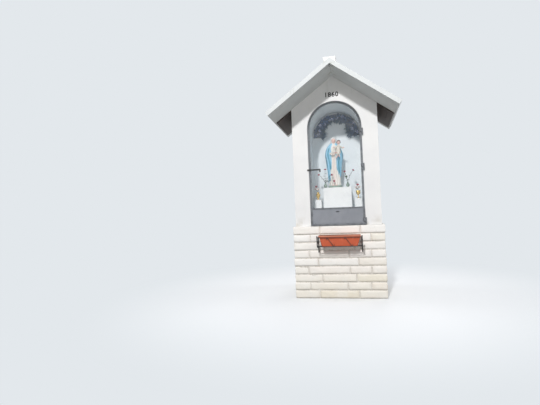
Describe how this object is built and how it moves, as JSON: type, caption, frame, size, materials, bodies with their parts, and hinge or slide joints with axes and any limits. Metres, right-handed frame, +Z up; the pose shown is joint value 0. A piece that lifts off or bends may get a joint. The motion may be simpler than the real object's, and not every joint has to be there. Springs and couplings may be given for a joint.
{
  "type": "wayside shrine",
  "caption": "Gabled wayside shrine on a stone plinth, with a glazed arched niche holding a figure, a hinged iron door with a latch, and a flower trough on iron brackets.",
  "frame": {"origin": "centre of the plinth's footprint on the ground, on the base face", "axes": "+Z up from the base face, +X to the right seen from the front, +Y towards the back; the door faces -Y"},
  "size_m": [1.6208, 1.528, 2.9594],
  "materials": {
    "limestone": "rock-faced, matt",
    "limestone_cap": "dressed, matt",
    "render": "lime-washed, matt",
    "floor_slab": "smooth, matt",
    "roof_slab": "painted, matt",
    "roof_covering": "matt, weathered",
    "ridge_capping": "satin",
    "eave_boards": "stained, satin",
    "wrought_iron": "satin",
    "door_iron": "satin",
    "pane": "clear",
    "panel_sheet": "satin",
    "white_block": "painted, matt",
    "base_paint": "painted, satin",
    "painted_plaster": "painted, satin",
    "garland_leaves": "matt",
    "gold_vase": "polished",
    "glazed_vase": "glazed",
    "silk_roses": "matt",
    "trough_plastic": "satin"
  },
  "bodies": {
    "shrine": {"plinth": "limestone", "plinth_cap": "limestone_cap", "left_wall": "render", "right_wall": "render", "back_wall": "render", "front_gable": "render", "vault": "render", "niche_floor": "floor_slab", "roof_slab_left": "roof_slab", "roof_slab_right": "roof_slab", "roof_covering_left": "roof_covering", "roof_covering_right": "roof_covering", "ridge_cap": "ridge_capping", "eave_boards_left": "eave_boards", "eave_boards_right": "eave_boards", "ridge_eye": "wrought_iron", "hinge_pintles": "door_iron", "pedestal": "white_block", "figure_base": "base_paint", "figure": "painted_plaster", "garland": "garland_leaves", "block_left": "white_block", "block_right": "white_block", "vase_left": "gold_vase", "vase_right": "gold_vase", "bud_vase_left": "glazed_vase", "bud_vase_right": "glazed_vase", "rose_spray_left": "silk_roses", "rose_spray_right": "silk_roses", "posy_left": "silk_roses", "posy_right": "silk_roses", "planter": "trough_plastic", "bracket_left": "wrought_iron", "bracket_right": "wrought_iron", "planter_rail": "wrought_iron", "scroll_left": "wrought_iron", "scroll_right": "wrought_iron"},
    "door": {"hinge_knuckles": "door_iron", "door_frame": "door_iron", "door_glass": "pane", "glazing_bead": "door_iron", "door_panel": "panel_sheet", "latch_plate": "wrought_iron"},
    "latch": {"latch_lever": "wrought_iron"}
  },
  "joints": [
    {"name": "door_hinge", "type": "hinge", "parent": "shrine", "child": "door", "pos_m": [0.356, -0.466, 1.6], "axis": [0, 0, 1], "range_deg": [0, 100]},
    {"name": "latch_turn", "type": "hinge", "parent": "door", "child": "latch", "pos_m": [-0.333, -0.462, 1.67], "axis": [0, 1, 0], "range_deg": [0, 90]}
  ]
}
